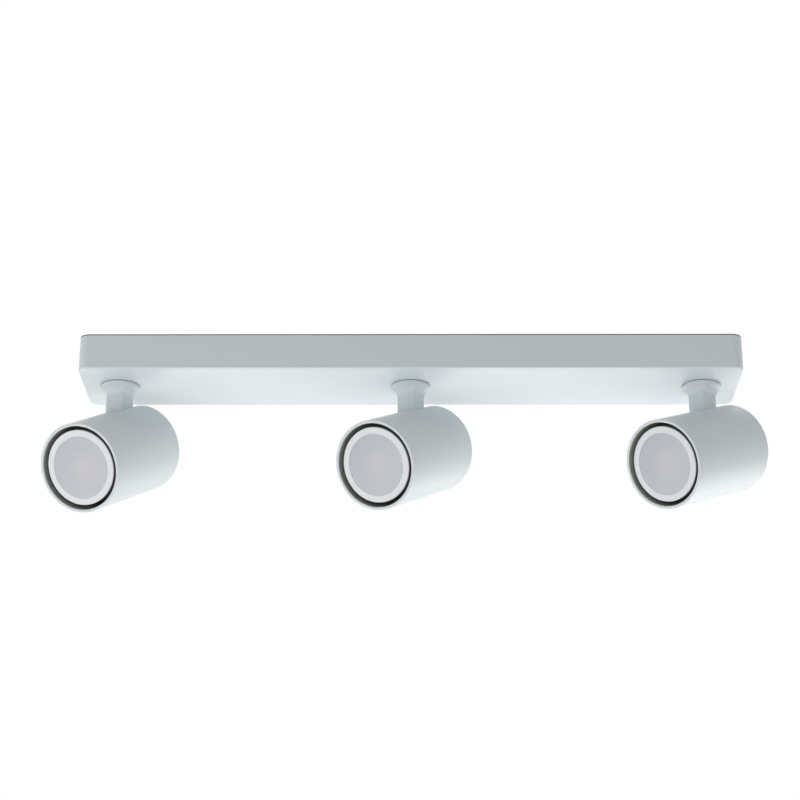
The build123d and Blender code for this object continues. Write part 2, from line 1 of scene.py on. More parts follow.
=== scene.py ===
"""Track lighting fixture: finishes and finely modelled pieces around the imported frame.

Metres throughout. The fixture's own frame has its origin on the ceiling above the middle
head, with X along the bar and Z up. A head's pieces are made in the head's frame, whose
origin is the tilt pivot, with X along the pivot, -Y towards the lamp's face and Z away
from the tube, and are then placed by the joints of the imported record.
"""
import json
import math

import bmesh
import bpy
from mathutils import Matrix, Vector

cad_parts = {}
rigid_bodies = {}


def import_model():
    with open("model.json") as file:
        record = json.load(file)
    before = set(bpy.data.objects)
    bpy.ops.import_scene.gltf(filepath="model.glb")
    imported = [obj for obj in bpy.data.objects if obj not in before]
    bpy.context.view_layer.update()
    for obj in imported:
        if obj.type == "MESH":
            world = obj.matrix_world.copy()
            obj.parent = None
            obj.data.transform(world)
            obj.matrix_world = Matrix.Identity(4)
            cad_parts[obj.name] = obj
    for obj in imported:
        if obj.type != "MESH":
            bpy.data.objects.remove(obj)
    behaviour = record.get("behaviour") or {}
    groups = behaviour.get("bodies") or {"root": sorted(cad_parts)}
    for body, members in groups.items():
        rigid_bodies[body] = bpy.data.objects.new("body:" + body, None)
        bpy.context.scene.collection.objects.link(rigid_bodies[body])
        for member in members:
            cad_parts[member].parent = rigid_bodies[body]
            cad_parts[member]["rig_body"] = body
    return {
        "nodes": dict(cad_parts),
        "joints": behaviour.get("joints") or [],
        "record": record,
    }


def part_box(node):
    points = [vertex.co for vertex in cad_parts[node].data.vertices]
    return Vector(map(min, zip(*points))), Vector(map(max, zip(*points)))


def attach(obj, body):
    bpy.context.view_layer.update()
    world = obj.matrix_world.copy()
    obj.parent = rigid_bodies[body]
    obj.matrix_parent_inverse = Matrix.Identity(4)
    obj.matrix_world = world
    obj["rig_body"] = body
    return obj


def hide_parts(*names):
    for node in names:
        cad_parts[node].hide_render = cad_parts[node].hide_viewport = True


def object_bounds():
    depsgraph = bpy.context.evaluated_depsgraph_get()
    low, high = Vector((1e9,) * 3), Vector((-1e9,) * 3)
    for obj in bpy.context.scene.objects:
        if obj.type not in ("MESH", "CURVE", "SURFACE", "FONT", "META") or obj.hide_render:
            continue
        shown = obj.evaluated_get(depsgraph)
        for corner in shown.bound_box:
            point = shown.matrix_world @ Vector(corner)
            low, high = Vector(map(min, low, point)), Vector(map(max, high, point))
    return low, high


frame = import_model()
cad_low, cad_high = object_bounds()

MM = 0.001
SIDES = ("left", "middle", "right")
JOINTS = {joint["name"]: joint for joint in frame["joints"]}
SUBPART_SLOTS = {part["node"]: part["material_slot"] for part in frame["record"]["subparts"]}

# Making: how fine the rounds are, and what counts as one point, one flat or an edge.
MERGE_DISTANCE = 0.001 * MM
FLAT_ANGLE = math.radians(0.2)
EDGE_ANGLE = math.radians(32)
TURN_STEPS = 128
ROD_STEPS = 48
PLATE_CORNER_STEPS = 10
OVERCUT = 1 * MM  # how far a cutter reaches past the piece

# Bar.
BAR_CORNER_RADIUS = 7 * MM
BAR_EDGE_RADIUS = 1 * MM
BAR_RIM_RADIUS = 0.35 * MM
BAR_WALL = 1.2 * MM
NECK_HOLE_RADIUS = 5.1 * MM
STOP_PIN_RADIUS = 1.5 * MM
STOP_PIN_DISTANCE = 12 * MM
END_SCREW_RADIUS = 2.05 * MM

# Dark strip between the bar's rim and the ceiling: painted shade for the shadow line along the rim.
CEILING_STRIP_INSET = 0.1 * MM
CEILING_STRIP_WIDTH = 3 * MM

# Stem, as heights in the fixture's frame and radii about its own axis.
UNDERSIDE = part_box("bar_housing")[0].z
COLLAR_GAP = 0.42 * MM
COLLAR_TOP = UNDERSIDE - COLLAR_GAP
COLLAR_RADIUS = 13.5 * MM
COLLAR_EDGE = 0.25 * MM
COLLAR_BAND = 1.9 * MM
COLLAR_FLARE = 5.6 * MM
FLARE_STEPS = 12
FLARE_SWEEP = 1.7  # 1 is a straight flare, more is a hollow one
FLARE_ROUNDING = 4  # the more, the higher the column's corners run before they fade into the collar
WASHER_SEAT_DEPTH = 0.55 * MM
WASHER_SEAT = UNDERSIDE - WASHER_SEAT_DEPTH
WASHER_SEAT_RADIUS = 12.1 * MM
NECK_RADIUS = 5 * MM
NECK_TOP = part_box("stem_middle")[1].z
NECK_FLAT = 4.1 * MM
NECK_CHAMFER = 0.5 * MM
COLUMN_HALF = 6.5 * MM
COLUMN_CORNER = COLUMN_HALF * math.sqrt(2)
COLUMN_EDGE_RADIUS = 0.18 * MM
COLUMN_EDGE_STEPS = 3
COLUMN_EDGE_ANGLE = math.radians(60)
PIVOT_HEIGHT = JOINTS["tilt_middle"]["pos_m"][2]
WIRE_BORE_RADIUS = 2.75 * MM
PIVOT_THREAD_RADIUS = 2.05 * MM
STEM_STEPS = 96
FOOT_STEPS = 12
FACING_UP = 0.9  # least Z of the normal of a face on the collar's top

# Head, in its own frame: depths are measured from the pivot, more towards the rear.
TUBE_RADIUS = 30 * MM
TUBE_BORE_RADIUS = 28 * MM
TUBE_RIM_RADIUS = 0.5 * MM
TUBE_FRONT = -55 * MM
TUBE_REAR = 25 * MM
TUBE_AXIS_HEIGHT = -15 * MM
INNER_COAT_REACH = 0.05 * MM  # how far the inner coat goes into the wall at the rims
SLOT_HALF = 7 * MM
SLOT_MOUTH_RADIUS = 7 * MM
LUG_X = 24.8 * MM
LUG_RADIUS = 4 * MM
LUG_FRONT = 12 * MM
CARRIER_FRONT = 21 * MM
CARRIER_REAR = 23 * MM
CARRIER_RADIUS = 27.95 * MM
CARRIER_CHAMFER = 0.5 * MM
CAST_EDGE_RADIUS = 0.15 * MM
SLOT_EDGE_RADIUS = 0.2 * MM
EAR_OUTER = 9 * MM
EAR_HALF = 6.5 * MM
PIVOT_HOLE_RADIUS = 2.6 * MM
BOSS_X = 11.6 * MM
BOSS_RADIUS = 3.5 * MM
BOSS_FRONT = 10 * MM
SMALL_HOLE_RADIUS = 1.55 * MM

# Lamp, in the same frame.
LAMP_RADIUS = 25.2 * MM
LAMP_FRONT = -53.3 * MM
LAMP_RING_REAR = -48.3 * MM
DIFFUSER_RADIUS = 20.7 * MM
DIFFUSER_HOLE_RADIUS = 20.71 * MM
DIFFUSER_FRONT = -53.15 * MM
DIFFUSER_REAR = -51.3 * MM
LAMP_RING_LEDGE = 19.55 * MM
LAMP_RING_RADIUS = 0.6 * MM
LAMP_RING_INNER_RADIUS = 0.15 * MM
LAMP_FACE_DEPTH = 0.7 * MM
FACING_ALONG = 0.5  # least Y of the normal of a face that looks along the lamp
DIFFUSER_EDGE_RADIUS = 0.2 * MM
LENS_WARM = (0.70, 0.672, 0.705)
LENS_COOL = (0.57, 0.60, 0.66)
LENS_PLAIN = (0.638, 0.663, 0.69)
GLOW_OFFSET = 2.5 * MM
GLOW_RADIUS = 13 * MM
LENS_MILKINESS = 0.15
LENS_ROUGHNESS = (0.42, 0.55)
LENS_SCATTER = (2 * MM, 1.8 * MM, 1.8 * MM)

# Finishes: the noise's usual range, depths of grain, and how far a dulled metal darkens.
NOISE_LOW = 0.3
NOISE_HIGH = 0.7
FINE_DEPTH = 0.02 * MM
WAVE_DEPTH = 0.1 * MM
SCRATCH_DEPTH = 0.03 * MM
DULLED = 0.78

# Finishes: how many features a metre holds, for each kind of unevenness.
COAT_TONE = 14
COAT_GLOSS = 55
COAT_WAVES = 90
COAT_PEEL = 1400
METAL_CLOUDS = 120
METAL_GLOSS = 260
METAL_SCRATCHES = 900
MOULDED_TONE = 60
MOULDED_GLOSS = 300
MOULDED_GRAIN = 2200
LENS_GLOSS = 500
LENS_GRAIN = 2600

# Camera, in metres, degrees and millimetres of lens.
CAMERA_PLACE = (-0.0006, -1.2939, -0.5710)
CAMERA_RISE = 22.51
CAMERA_TURN = -0.30
CAMERA_ROLL = 0.08
CAMERA_LENS = 91.77
CAMERA_SENSOR = 36
CAMERA_NEAREST = 0.05

# Studio: each lamp has a place from the fixture's middle, a width and a power in watts.
WORLD_LEVEL = 0.365
FLOOR_HALF = 6.0
FLOOR_HEIGHT = -2.4
FLOOR_COLOUR = (0.9, 0.9, 0.9, 1)
FLOOR_ROUGHNESS = 0.8
FLOOR_PALENESS = 0.55
WHITE = (1, 1, 1, 1)
LAMPS = (
    ("below", (0.0, -0.2, -1.1), 1.6, 1.9),
    ("low_back", (0.0, 1.2, -0.8), 1.2, 3.9),
    ("low_left", (-1.3, 0.0, -0.8), 1.2, 4.8),
    ("low_front_left", (-0.8, -1.0, -0.8), 1.2, 5.9),
    ("low_right", (1.3, 0.0, -0.8), 1.2, 4.6),
    ("low_back_right", (0.9, 0.9, -0.7), 1.2, 6.1),
    ("above", (0.0, 0.0, 1.7), 1.8, 5.9),
)


# ---------------------------------------------------------------- places
def head_place(side):
    """Matrix from a head's own frame to the fixture's."""
    tilt = JOINTS[f"tilt_{side}"]
    twist = JOINTS[f"lamp_twist_{side}"]
    across = Vector(tilt["axis"])
    back = -Vector(twist["axis"])
    above = across.cross(back)
    place = Matrix((across, back, above)).transposed().to_4x4()
    place.translation = Vector(tilt["pos_m"])
    return place


def stem_place(side):
    """Matrix from a stem's own frame, on the ceiling above its pivot, to the fixture's."""
    tilt = JOINTS[f"tilt_{side}"]
    across = Vector(tilt["axis"])
    up = Vector((0, 0, 1))
    place = Matrix((across, up.cross(across), up)).transposed().to_4x4()
    place.translation = Vector((tilt["pos_m"][0], tilt["pos_m"][1], 0))
    return place


# ---------------------------------------------------------------- materials
def new_material(name):
    """A named material with a plain shader."""
    material = bpy.data.materials.new(name)
    material.use_nodes = True
    nodes = material.node_tree.nodes
    nodes.clear()
    output = nodes.new("ShaderNodeOutputMaterial")
    shader = nodes.new("ShaderNodeBsdfPrincipled")
    material.node_tree.links.new(shader.outputs["BSDF"], output.inputs["Surface"])
    return material, shader


def object_coordinates(material):
    """Places in the piece's own frame, in metres."""
    return material.node_tree.nodes.new("ShaderNodeTexCoord").outputs["Object"]


def noise(material, scale, detail, roughness=0.55):
    """A noise texture on object coordinates, in features per metre."""
    tree = material.node_tree
    texture = tree.nodes.new("ShaderNodeTexNoise")
    texture.inputs["Scale"].default_value = scale
    texture.inputs["Detail"].default_value = detail
    texture.inputs["Roughness"].default_value = roughness
    tree.links.new(object_coordinates(material), texture.inputs["Vector"])
    return texture.outputs["Fac"]


def spread(material, value, low, high):
    """Map a noise's usual range onto low to high."""
    tree = material.node_tree
    node = tree.nodes.new("ShaderNodeMapRange")
    node.inputs["From Min"].default_value = NOISE_LOW
    node.inputs["From Max"].default_value = NOISE_HIGH
    node.inputs["To Min"].default_value = low
    node.inputs["To Max"].default_value = high
    tree.links.new(value, node.inputs["Value"])
    return node.outputs["Result"]


def mix_colours(material, factor, first, second):
    """Go from the first colour to the second, which may come from another node."""
    tree = material.node_tree
    node = tree.nodes.new("ShaderNodeMix")
    node.data_type = "RGBA"
    node.inputs["A"].default_value = (*first, 1)
    if isinstance(second, bpy.types.NodeSocket):
        tree.links.new(second, node.inputs["B"])
    else:
        node.inputs["B"].default_value = (*second, 1)
    tree.links.new(factor, node.inputs["Factor"])
    return node.outputs["Result"]


def measure(material, operation, vector):
    """How far along a direction, or how far from a point, each place of the piece lies."""
    tree = material.node_tree
    node = tree.nodes.new("ShaderNodeVectorMath")
    node.operation = operation
    node.inputs[1].default_value = vector
    tree.links.new(object_coordinates(material), node.inputs[0])
    return node.outputs["Value"]


def ramp(material, value, start, end, interpolation="LINEAR"):
    """Map start to end onto 0 to 1."""
    tree = material.node_tree
    node = tree.nodes.new("ShaderNodeMapRange")
    node.interpolation_type = interpolation
    node.inputs["From Min"].default_value = start
    node.inputs["From Max"].default_value = end
    tree.links.new(value, node.inputs["Value"])
    return node.outputs["Result"]


def bump(material, shader, layers):
    """Chain bump nodes, one for each (height, strength, depth in metres)."""
    tree = material.node_tree
    normal = None
    for height, strength, depth in layers:
        node = tree.nodes.new("ShaderNodeBump")
        node.inputs["Strength"].default_value = strength
        node.inputs["Distance"].default_value = depth
        tree.links.new(height, node.inputs["Height"])
        if normal is not None:
            tree.links.new(normal, node.inputs["Normal"])
        normal = node.outputs["Normal"]
    tree.links.new(normal, shader.inputs["Normal"])


def coated(name, light, dark, roughness, peel_depth=FINE_DEPTH, metallic=0.0):
    """Powder coat: fine orange peel, faint waviness and slow shifts of tone and gloss."""
    material, shader = new_material(name)
    links = material.node_tree.links
    tone = spread(material, noise(material, COAT_TONE, detail=4), 0.0, 1.0)
    links.new(mix_colours(material, tone, light, dark), shader.inputs["Base Color"])
    gloss = spread(material, noise(material, COAT_GLOSS, detail=5), roughness - 0.04, roughness + 0.05)
    links.new(gloss, shader.inputs["Roughness"])
    shader.inputs["Metallic"].default_value = metallic
    peel = noise(material, COAT_PEEL, detail=2, roughness=0.5)
    waves = noise(material, COAT_WAVES, detail=2, roughness=0.5)
    bump(material, shader, [(waves, 0.15, WAVE_DEPTH), (peel, 0.35, peel_depth)])
    return material


def plated(name, colour, roughness):
    """Bare or plated metal with fine scratches and cloudy gloss."""
    material, shader = new_material(name)
    links = material.node_tree.links
    dull = tuple(DULLED * part for part in colour)
    cloud = spread(material, noise(material, METAL_CLOUDS, detail=6), 0.0, 1.0)
    links.new(mix_colours(material, cloud, colour, dull), shader.inputs["Base Color"])
    shader.inputs["Metallic"].default_value = 1.0
    sheen = noise(material, METAL_GLOSS, detail=8, roughness=0.7)
    gloss = spread(material, sheen, roughness - 0.08, roughness + 0.1)
    links.new(gloss, shader.inputs["Roughness"])
    scratches = noise(material, METAL_SCRATCHES, detail=4)
    bump(material, shader, [(scratches, 0.25, SCRATCH_DEPTH)])
    return material


def moulded(name, light, dark, roughness, grain_depth=FINE_DEPTH):
    """Moulded plastic or rubber with a fine grain."""
    material, shader = new_material(name)
    links = material.node_tree.links
    tone = spread(material, noise(material, MOULDED_TONE, detail=4), 0.0, 1.0)
    links.new(mix_colours(material, tone, light, dark), shader.inputs["Base Color"])
    gloss = spread(material, noise(material, MOULDED_GLOSS, detail=4), roughness - 0.05, roughness + 0.06)
    links.new(gloss, shader.inputs["Roughness"])
    grain = noise(material, MOULDED_GRAIN, detail=2)
    bump(material, shader, [(grain, 0.3, grain_depth)])
    return material


def frosted(name, place):
    """The lamp's frosted front, cooler to one side, with a painted warm glow off its middle."""
    material, shader = new_material(name)
    links = material.node_tree.links
    turned = place.to_3x3()
    aside = (turned.col[0] - turned.col[2]).normalized()
    middle = aside.dot(place @ Vector((0, DIFFUSER_FRONT, TUBE_AXIS_HEIGHT)))
    across = measure(material, "DOT_PRODUCT", aside)
    side = ramp(material, across, middle - DIFFUSER_RADIUS, middle + DIFFUSER_RADIUS / 2)
    ground = mix_colours(material, side, LENS_COOL, LENS_PLAIN)
    # The warm middle is a painted glow; the lamp gives no light.
    glow_centre = place @ Vector((GLOW_OFFSET, DIFFUSER_FRONT, TUBE_AXIS_HEIGHT))
    distance = measure(material, "DISTANCE", glow_centre)
    fade = ramp(material, distance, 0.0, GLOW_RADIUS, "SMOOTHSTEP")
    links.new(mix_colours(material, fade, LENS_WARM, ground), shader.inputs["Base Color"])
    gloss = spread(material, noise(material, LENS_GLOSS, detail=4), *LENS_ROUGHNESS)
    links.new(gloss, shader.inputs["Roughness"])
    shader.inputs["Subsurface Weight"].default_value = LENS_MILKINESS
    shader.inputs["Subsurface Radius"].default_value = LENS_SCATTER
    grain = noise(material, LENS_GRAIN, detail=2)
    bump(material, shader, [(grain, 0.35, FINE_DEPTH)])
    return material


white_paint = coated("white_paint", (0.750, 0.812, 0.836), (0.735, 0.799, 0.824), 0.33)
inner_coat = coated("grey_inner_coat", (0.64, 0.64, 0.60), (0.58, 0.58, 0.54), 0.34, metallic=0.2)
cast_coat = coated("dark_cast_coat", (0.07, 0.07, 0.072), (0.05, 0.05, 0.052), 0.5, 0.06 * MM)
zinc = plated("zinc_steel", (0.44, 0.45, 0.47), 0.42)
brass = plated("brass_metal", (0.78, 0.62, 0.30), 0.28)
nickel = plated("nickel_brass", (0.70, 0.67, 0.60), 0.22)
nylon = moulded("natural_nylon", (0.78, 0.78, 0.74), (0.70, 0.70, 0.66), 0.42)
# Dark grey for the strip on the bar's rim: painted shade.
painted_shade_strip = moulded("painted_shade_strip", (0.14, 0.15, 0.16), (0.10, 0.11, 0.12), 0.8, 0.1 * MM)
# Black rubber, also laid on the collars' tops as painted shade in the gap under the bar.
rubber_and_painted_shade = moulded("black_rubber", (0.025, 0.025, 0.025), (0.04, 0.04, 0.04), 0.62, 0.05 * MM)
ceramic = moulded("ceramic", (0.80, 0.78, 0.73), (0.72, 0.69, 0.63), 0.55, 0.06 * MM)
# Dark grey for the lamp ring's side, deep in the gap inside the tube: painted shade.
lamp_side_painted_shade = moulded("lamp_side_painted_shade", (0.15, 0.15, 0.145), (0.12, 0.12, 0.115), 0.45)
lamp_white = moulded("lamp_white", (0.87, 0.895, 0.91), (0.85, 0.88, 0.90), 0.33)
brown_wire = moulded("brown_insulation", (0.16, 0.06, 0.03), (0.12, 0.045, 0.025), 0.35)
blue_wire = moulded("blue_insulation", (0.03, 0.10, 0.42), (0.025, 0.08, 0.34), 0.35)
earth_wire = moulded("earth_insulation", (0.62, 0.60, 0.04), (0.06, 0.30, 0.05), 0.35)

SLOT_MATERIALS = {
    "white_paint": white_paint,
    "dark_cast_metal": cast_coat,
    "zinc_steel": zinc,
    "brass_metal": brass,
    "nickel_brass": nickel,
    "ceramic": ceramic,
    "lamp_white": lamp_white,
    "clear_nylon": nylon,
    "black_rubber": rubber_and_painted_shade,
    "brown_insulation": brown_wire,
    "blue_insulation": blue_wire,
    "earth_insulation": earth_wire,
}


# ---------------------------------------------------------------- shaping
def round_off(shape, geometry, radius, steps, affect):
    """Round corners or edges off to a radius."""
    bmesh.ops.bevel(
        shape,
        geom=geometry,
        offset=radius,
        offset_type="OFFSET",
        segments=steps,
        profile=0.5,
        affect=affect,
        clamp_overlap=(affect == "EDGES"),
        material=-1,
    )


def section(points, rounds, steps=6):
    """A flat section in the XZ plane: (radius, height) corners, some of them rounded."""
    shape = bmesh.new()
    corners = [shape.verts.new((x, 0, z)) for x, z in points]
    shape.faces.new(corners)
    for radius, indices in rounds:
        round_off(shape, [corners[index] for index in indices], radius, steps, "VERTICES")
    return shape


def turn(shape):
    """Turn a section about Z into a closed ring or, where it meets the axis, a solid."""
    outline = shape.edges[:]
    bmesh.ops.delete(shape, geom=shape.faces[:], context="FACES_ONLY")
    bmesh.ops.spin(
        shape,
        geom=outline,
        cent=(0, 0, 0),
        axis=(0, 0, 1),
        angle=math.tau,
        steps=TURN_STEPS,
        use_merge=True,
    )
    bmesh.ops.remove_doubles(shape, verts=shape.verts, dist=MERGE_DISTANCE)
    bmesh.ops.recalc_face_normals(shape, faces=shape.faces)
    return shape


def rounded_plate(length, width, radius):
    """A flat rounded rectangle at height 0."""
    shape = bmesh.new()
    bmesh.ops.create_grid(shape, x_segments=1, y_segments=1, size=0.5)
    bmesh.ops.scale(shape, vec=(length, width, 1), verts=shape.verts)
    round_off(shape, shape.verts[:], radius, PLATE_CORNER_STEPS, "VERTICES")
    return shape


def thicken(shape, face, height):
    """Extrude a face along Z, keeping the first one as the other side; return the far one."""
    grown = bmesh.ops.extrude_face_region(shape, geom=[face], use_keep_orig=True)["geom"]
    far = next(item for item in grown if isinstance(item, bmesh.types.BMFace))
    bmesh.ops.translate(shape, verts=far.verts, vec=(0, 0, height))
    return far


def raise_face(shape, face, height):
    """Extrude one face along Z and return its moved copy."""
    raised = bmesh.ops.extrude_discrete_faces(shape, faces=[face])["faces"][0]
    bmesh.ops.translate(shape, verts=raised.verts, vec=(0, 0, height))
    return raised


def round_edges(shape, edges, radius, steps=5):
    """Round edges off to a radius."""
    round_off(shape, edges, radius, steps, "EDGES")


def rod(radius, start, end):
    """A closed round bar between two points, to cut a hole or to join on."""
    shape = bmesh.new()
    run = Vector(end) - Vector(start)
    bmesh.ops.create_cone(
        shape, cap_ends=True, segments=ROD_STEPS, radius1=radius, radius2=radius, depth=run.length
    )
    bmesh.ops.rotate(shape, verts=shape.verts, matrix=run.to_track_quat("Z", "Y").to_matrix())
    bmesh.ops.translate(shape, verts=shape.verts, vec=(Vector(start) + Vector(end)) / 2)
    return shape


def block(low, high):
    """A closed box between two corners, to cut a slot or to join on."""
    shape = bmesh.new()
    bmesh.ops.create_cube(shape, size=1)
    low, high = Vector(low), Vector(high)
    bmesh.ops.scale(shape, vec=high - low, verts=shape.verts)
    bmesh.ops.translate(shape, verts=shape.verts, vec=(low + high) / 2)
    return shape


def as_mesh(shape, name):
    """Turn a worked shape into a mesh and let the shape go."""
    mesh = bpy.data.meshes.new(name)
    shape.to_mesh(mesh)
    shape.free()
    return mesh


def combine(base, tools, operation="DIFFERENCE"):
    """Cut tools out of a mesh, or join them to it, and return the new mesh."""
    holder = bpy.data.objects.new("cut", base)
    bpy.context.scene.collection.objects.link(holder)
    helpers = []
    for tool in tools:
        mesh = tool if isinstance(tool, bpy.types.Mesh) else as_mesh(tool, "tool")
        helper = bpy.data.objects.new("tool", mesh)
        bpy.context.scene.collection.objects.link(helper)
        helpers.append(helper)
        modifier = holder.modifiers.new("cut", "BOOLEAN")
        modifier.operation = operation
        modifier.solver = "EXACT"
        modifier.object = helper
    bpy.context.view_layer.update()
    evaluated = holder.evaluated_get(bpy.context.evaluated_depsgraph_get())
    result = bpy.data.meshes.new_from_object(evaluated)
    for helper in [holder, *helpers]:
        bpy.data.objects.remove(helper)
    return result


# ---------------------------------------------------------------- pieces from the frame
def smooth_by_angle(mesh):
    """Shade everything smooth except across real edges."""
    for polygon in mesh.polygons:
        polygon.use_smooth = True
    mesh.set_sharp_from_angle(angle=EDGE_ANGLE)


def finish_piece(piece, body, materials, replaced=(), bevel=0.0):
    """Link a piece, give it its finish and its body, and hide the nodes it stands for."""
    bpy.context.scene.collection.objects.link(piece)
    for material in materials:
        piece.data.materials.append(material)
    if bevel:
        edge = piece.modifiers.new("edges", "BEVEL")
        edge.width = bevel
        edge.segments = 2
        edge.limit_method = "ANGLE"
        edge.angle_limit = EDGE_ANGLE
        edge.harden_normals = True
        edge.use_clamp_overlap = True
    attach(piece, body)
    if replaced:
        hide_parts(*replaced)


def show(mesh, node, place, materials, bevel=0.0):
    """Put a shape where its node is, with smooth rounds and true flats."""
    mesh.transform(place)
    mesh.update()
    smooth_by_angle(mesh)
    mesh.name = f"{node}_shape"
    piece = bpy.data.objects.new(f"{node}_shape", mesh)
    body = frame["nodes"][node]["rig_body"]
    finish_piece(piece, body, materials, [node], bevel)
    weighted = piece.modifiers.new("flats", "WEIGHTED_NORMAL")
    weighted.keep_sharp = True


def refined_copy(node):
    """A merged copy of a node's mesh, with flats joined and rounds smooth."""
    source = frame["nodes"][node]
    mesh = source.data.copy()
    mesh.materials.clear()
    shape = bmesh.new()
    shape.from_mesh(mesh)
    bmesh.ops.remove_doubles(shape, verts=shape.verts, dist=MERGE_DISTANCE)
    bmesh.ops.dissolve_limit(
        shape,
        angle_limit=FLAT_ANGLE,
        use_dissolve_boundaries=False,
        verts=shape.verts,
        edges=shape.edges,
        delimit=set(),
    )
    shape.to_mesh(mesh)
    shape.free()
    smooth_by_angle(mesh)
    piece = bpy.data.objects.new(f"{node}_finished", mesh)
    slot_name = SUBPART_SLOTS[node]
    finish_piece(piece, source["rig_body"], [SLOT_MATERIALS[slot_name]], [node])


# ---------------------------------------------------------------- bar
def bar_tray():
    """Open-topped tray with rounded corners, a soft lower edge and a rolled rim."""
    low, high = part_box("bar_housing")
    shape = rounded_plate(high.x - low.x, high.y - low.y, BAR_CORNER_RADIUS)
    bmesh.ops.translate(shape, verts=shape.verts, vec=(0, 0, low.z))
    rim = thicken(shape, next(iter(shape.faces)), high.z - low.z)
    round_edges(shape, rim.edges[:], BAR_RIM_RADIUS)
    rim = max(shape.faces, key=lambda face: face.calc_center_median().z)
    bmesh.ops.inset_region(shape, faces=[rim], thickness=BAR_WALL - BAR_RIM_RADIUS, use_even_offset=True)
    raise_face(shape, rim, low.z + BAR_WALL - high.z)
    floor = min(shape.faces, key=lambda face: face.calc_center_median().z)
    round_edges(shape, floor.edges[:], BAR_EDGE_RADIUS)
    bmesh.ops.recalc_face_normals(shape, faces=shape.faces)
    below, above = low.z - OVERCUT, low.z + BAR_WALL + OVERCUT
    holes = []
    for side in SIDES:
        x = JOINTS[f"pan_{side}"]["pos_m"][0]
        holes.append(rod(NECK_HOLE_RADIUS, (x, 0, below), (x, 0, above)))
        holes.append(rod(STOP_PIN_RADIUS, (x, STOP_PIN_DISTANCE, below), (x, STOP_PIN_DISTANCE, above)))
    screw_z = (low.z + high.z) / 2
    holes.append(rod(END_SCREW_RADIUS, (low.x - OVERCUT, 0, screw_z), (high.x + OVERCUT, 0, screw_z)))
    return combine(as_mesh(shape, "bar_tray"), holes)


def ceiling_strip():
    """Thin dark strip on the tray's rim, up to the ceiling: painted shade for the shadow line along the
    rim.
    """
    low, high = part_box("bar_housing")
    length = high.x - low.x - 2 * CEILING_STRIP_INSET
    width = high.y - low.y - 2 * CEILING_STRIP_INSET
    shape = rounded_plate(length, width, BAR_CORNER_RADIUS - CEILING_STRIP_INSET)
    bmesh.ops.translate(shape, verts=shape.verts, vec=(0, 0, high.z))
    inner = next(iter(shape.faces))
    bmesh.ops.inset_region(
        shape, faces=[inner], thickness=CEILING_STRIP_WIDTH, use_boundary=True, use_even_offset=True
    )
    bmesh.ops.delete(shape, geom=[inner], context="FACES")
    upper = bmesh.ops.extrude_face_region(shape, geom=shape.faces[:], use_keep_orig=True)["geom"]
    raised = [item for item in upper if isinstance(item, bmesh.types.BMVert)]
    bmesh.ops.translate(shape, verts=raised, vec=(0, 0, cad_high.z - high.z))
    bmesh.ops.recalc_face_normals(shape, faces=shape.faces)
    return as_mesh(shape, "ceiling_strip")


# ---------------------------------------------------------------- stem
def draw_ring(shape, ring, height, place):
    """Extrude a ring of edges and put each new point where place(angle, point) says."""
    grown = bmesh.ops.extrude_edge_only(shape, edges=ring)["geom"]
    for vert in (item for item in grown if isinstance(item, bmesh.types.BMVert)):
        x, y = place(math.atan2(vert.co.y, vert.co.x), vert.co)
        vert.co = (x, y, height)
    return [item for item in grown if isinstance(item, bmesh.types.BMEdge)]


def on_circle(radius):
    """Points of a ring moved onto a circle."""
    return lambda angle, point: (radius * math.cos(angle), radius * math.sin(angle))


def on_square(half):
    """Points of a round ring moved in or out along their own ray onto a square."""

    def place(angle, point):
        reach = half / math.cos(angle - round(angle / (math.pi / 2)) * math.pi / 2)
        return (reach * math.cos(angle), reach * math.sin(angle))

    return place


def between(first, second, share):
    """Points part of the way from one outline to another."""

    def place(angle, point):
        return Vector(first(angle, point)).lerp(Vector(second(angle, point)), share)

    return place


def column_corners(shape, top):
    """The sharp edges that run down the flare and the column and round its foot."""
    return [
        edge
        for edge in shape.edges
        if len(edge.link_faces) == 2
        and max(vert.co.z for vert in edge.verts) < top + MERGE_DISTANCE
        and abs(edge.verts[0].co.z - edge.verts[1].co.z) > 10 * MERGE_DISTANCE
        and edge.calc_face_angle() > COLUMN_EDGE_ANGLE
    ]


